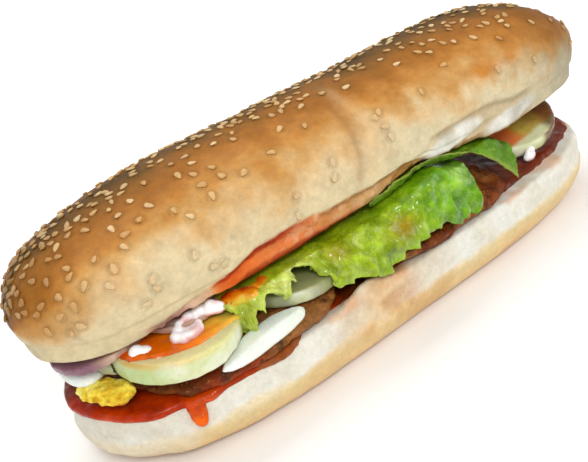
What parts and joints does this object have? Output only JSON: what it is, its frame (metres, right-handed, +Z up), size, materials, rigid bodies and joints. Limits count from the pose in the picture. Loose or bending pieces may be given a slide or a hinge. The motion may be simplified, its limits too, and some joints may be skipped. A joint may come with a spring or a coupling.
{
  "type": "shami burger",
  "caption": "Long sesame roll split in two halves, filled with flat minced-meat patties, ketchup, boiled egg, cucumber, onion and lettuce.",
  "frame": {"origin": "on the flat underside of the lower half of the roll, below the middle of its length", "axes": "+X along the roll, -Y towards the open front where the fillings show, +Z up"},
  "size_m": [0.215, 0.0732, 0.0713],
  "materials": {
    "heel": "soft, pale un-browned bread",
    "crust": "golden baked crust with a slight sheen",
    "ketchup": "wet, glossy red sauce",
    "kebab": "fried minced meat, dry and rough",
    "egg_white": "smooth, moist boiled egg white",
    "egg_yolk": "dry, crumbly boiled yolk",
    "cucumber": "wet cut cucumber",
    "onion": "wet purple onion",
    "lettuce": "crisp wet lettuce, bright green",
    "lettuce_dark": "crisp wet lettuce, darker green"
  },
  "bodies": {
    "root": {"bottom_bun": "heel", "top_bun": "crust", "ketchup_layer": "ketchup", "kebab_1": "kebab", "kebab_2": "kebab", "egg_white_1": "egg_white", "egg_white_2": "egg_white", "egg_yolk": "egg_yolk", "cucumber_1": "cucumber", "cucumber_2": "cucumber", "cucumber_3": "cucumber", "cucumber_4": "cucumber", "cucumber_5": "cucumber", "onion_1": "onion", "onion_2": "onion", "lettuce_1": "lettuce", "lettuce_2": "lettuce_dark"}
  },
  "joints": []
}
